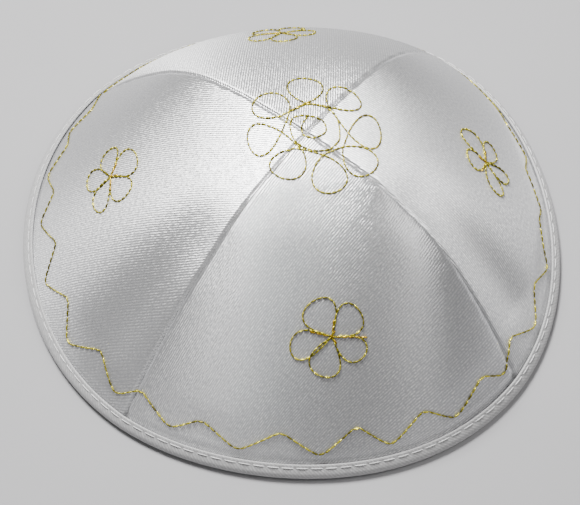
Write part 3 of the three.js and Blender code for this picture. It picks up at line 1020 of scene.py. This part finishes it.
def gold_material():
    """Metallised embroidery thread: a foil strip wound on a core. Its glints are painted into its colour,
    bright yellow on some stitches and dark olive on others, and browner where it lies in layers."""
    material, tree, shader = plain_material("metallised_gold_thread")
    tone_and_glint = add_node(tree, "ShaderNodeAttribute", attribute_name="tone_and_glint", attribute_type="GEOMETRY")
    layered = add_node(tree, "ShaderNodeAttribute", attribute_name="layered", attribute_type="GEOMETRY")
    place = add_node(tree, "ShaderNodeTexCoord").outputs["Object"]
    wound = {"Vector": place, "Scale": 1 / (FOIL_PITCH * MM), "Detail": 1.0}
    foil = add_node(tree, "ShaderNodeTexNoise", wound)
    # Painted glints: the noise along the foil, added to each stitch's random tone, gives the share of
    # painted highlight in the thread's colour.
    painted_glint_range = {"Value": foil, "From Min": 0.35, "From Max": 0.65, "To Min": -0.45, "To Max": 0.2}
    painted_glint = add_node(tree, "ShaderNodeMapRange", painted_glint_range)
    painted_glint_terms = {0: tone_and_glint.outputs["Fac"], 1: painted_glint}
    light = add_node(tree, "ShaderNodeMath", painted_glint_terms, operation="ADD", use_clamp=True)
    # Each pair runs from the unlit thread to its painted glint: dark olive to bright yellow, and brown to
    # gold where threads lie in layers.
    single = {"Factor": light, "A": linear("#6b6414"), "B": linear("#f2e64a")}
    crossed = {"Factor": light, "A": linear("#86680e"), "B": linear("#e6be2a")}
    colours = {
        "Factor": layered.outputs["Fac"],
        "A": add_node(tree, "ShaderNodeMix", single, data_type="RGBA"),
        "B": add_node(tree, "ShaderNodeMix", crossed, data_type="RGBA"),
    }
    ridges = {"Height": foil, "Strength": 0.4, "Distance": FOIL_RELIEF * MM}
    finish = {
        "Base Color": add_node(tree, "ShaderNodeMix", colours, data_type="RGBA"),
        "Metallic": 0.85,
        "Roughness": add_node(tree, "ShaderNodeMapRange", {"Value": light, "To Min": 0.42, "To Max": 0.25}),
        "Normal": add_node(tree, "ShaderNodeBump", ridges),
    }
    feed(tree, shader, finish)
    return material


def sewing_thread_material():
    """White spun polyester sewing thread, matt and a little fuzzy."""
    material, tree, shader = plain_material("white_polyester_sewing_thread")
    tone_and_glint = add_node(tree, "ShaderNodeAttribute", attribute_name="tone_and_glint", attribute_type="GEOMETRY")
    place = add_node(tree, "ShaderNodeTexCoord").outputs["Object"]
    fuzz = add_node(tree, "ShaderNodeTexNoise", {"Vector": place, "Scale": 1 / (FUZZ_PITCH * MM)})
    colours = {"Factor": tone_and_glint.outputs["Fac"], "A": linear("#d6d6d7"), "B": linear("#eeeeef")}
    fibres = {"Height": fuzz, "Strength": 0.4, "Distance": FUZZ_RELIEF * MM}
    finish = {
        "Base Color": add_node(tree, "ShaderNodeMix", colours, data_type="RGBA"),
        "Roughness": 0.55,
        "Normal": add_node(tree, "ShaderNodeBump", fibres),
        "Sheen Weight": 0.25,
    }
    feed(tree, shader, finish)
    return material


def floor_material():
    """A plain sheet of pale photographic card, matt, with the faintest mottle."""
    material, tree, shader = plain_material("pale_matt_card")
    place = add_node(tree, "ShaderNodeTexCoord").outputs["Object"]
    mottle = add_node(tree, "ShaderNodeTexNoise", {"Vector": place, "Scale": MOTTLES, "Detail": 4.0})
    colours = {"Factor": mottle, "A": linear("#a3a3a6"), "B": linear("#a8a8aa")}
    mixed = add_node(tree, "ShaderNodeMix", colours, data_type="RGBA")
    feed(tree, shader, {"Base Color": mixed, "Roughness": 0.85})
    return material


# The photograph's floor, light and camera.


def make_floor():
    half = FLOOR_SIZE / 2
    corners = ((-half, -half, 0), (half, -half, 0), (half, half, 0), (-half, half, 0))
    mesh = bpy.data.meshes.new("floor")
    mesh.from_pydata(corners, [], [(0, 1, 2, 3)])
    mesh.materials.append(floor_material())
    in_scene("floor", mesh)


def aimed_light(name, azimuth, elevation, distance, size, power, colour):
    """A square softbox that faces the cap from that azimuth and elevation."""
    light = bpy.data.lights.new(name, "AREA")
    light.size = size
    light.energy = power
    light.color = linear(colour)[:3]
    holder = in_scene(name, light)
    around, rise = math.radians(azimuth), math.radians(elevation)
    way = Vector((math.cos(rise) * math.cos(around), math.cos(rise) * math.sin(around), math.sin(rise)))
    turn = way.to_track_quat("Z", "Y").to_matrix().to_4x4()
    holder.matrix_world = Matrix.Translation(way * distance) @ turn


def make_world():
    world = bpy.data.worlds.new("pale_studio")
    bpy.context.scene.world = world
    world.use_nodes = True
    tree = world.node_tree
    tree.nodes.clear()
    air = {"Color": linear("#efeeee"), "Strength": WORLD_STRENGTH}
    add_node(tree, "ShaderNodeOutputWorld", {"Surface": add_node(tree, "ShaderNodeBackground", air)})


def make_camera():
    tilt, turn = math.radians(CAMERA_ELEVATION), math.radians(CAMERA_TURN)
    spin = Matrix.Rotation(turn, 3, "Z")
    back = spin @ Vector((0, -math.cos(tilt), math.sin(tilt)))
    level, upright = spin @ Vector((1, 0, 0)), spin @ Vector((0, math.sin(tilt), math.cos(tilt)))
    roll = math.radians(CAMERA_ROLL)
    right = math.cos(roll) * level + math.sin(roll) * upright
    up = math.cos(roll) * upright - math.sin(roll) * level
    data = bpy.data.cameras.new("camera")
    data.lens = CAMERA_LENS
    data.sensor_width = SENSOR_WIDTH
    data.sensor_fit = "HORIZONTAL"
    camera = in_scene("camera", data)
    place = (Vector(CAMERA_AIM) + CAMERA_DISTANCE * back) * MM
    camera.matrix_world = Matrix.Translation(place) @ Matrix((right, up, back)).transposed().to_4x4()
    bpy.context.scene.camera = camera


# The cap.

low, high = (np.array(corner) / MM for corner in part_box("rim_binding"))
bare_rings = tape_rings(RIM_AZIMUTHS, RIM_RUN)
outline_low, outline_high = bare_rings.min(axis=(0, 1)), bare_rings.max(axis=(0, 1))
SHIFT = (low + high - outline_low - outline_high) / 2 * np.array([1, 1, 0])

satin, tape_satin = satin_material(), binding_material()
surface = cloth_surface([make_panel(panel, satin) for panel in PANELS])
make_tape(tape_satin)

foil, spun, rings = gold_material(), sewing_thread_material(), bare_rings[:-1]
sewn_pieces = [
    ("zigzag_embroidery", stitches_on(surface, zigzag_path(), GOLD_STITCH), GOLD, foil),
    *(
        ("flower_embroidery_" + flower["name"], flower_stitches(surface, flower), GOLD, foil)
        for flower in FLOWERS
    ),
    ("rosette_embroidery", rosette_stitches(surface), GOLD, foil),
    ("binding_topstitch_outside", topstitches(rings, BINDING_OUTSIDE, 0, 1), TOP_THREAD, spun),
    ("binding_topstitch_inside", topstitches(rings, BINDING_INSIDE, PANEL_WALL, -1), TOP_THREAD, spun),
    ("seam_stitches", seam_stitches(), SEAM_THREAD, spun),
]
stitches = stitch_tree()
for seed, (name, rows, thread, material) in enumerate(sewn_pieces, 1):
    sew(name, stitches, rows, thread, material, seed)

make_floor()
for light in LIGHTS:
    aimed_light(**light)
make_world()
make_camera()
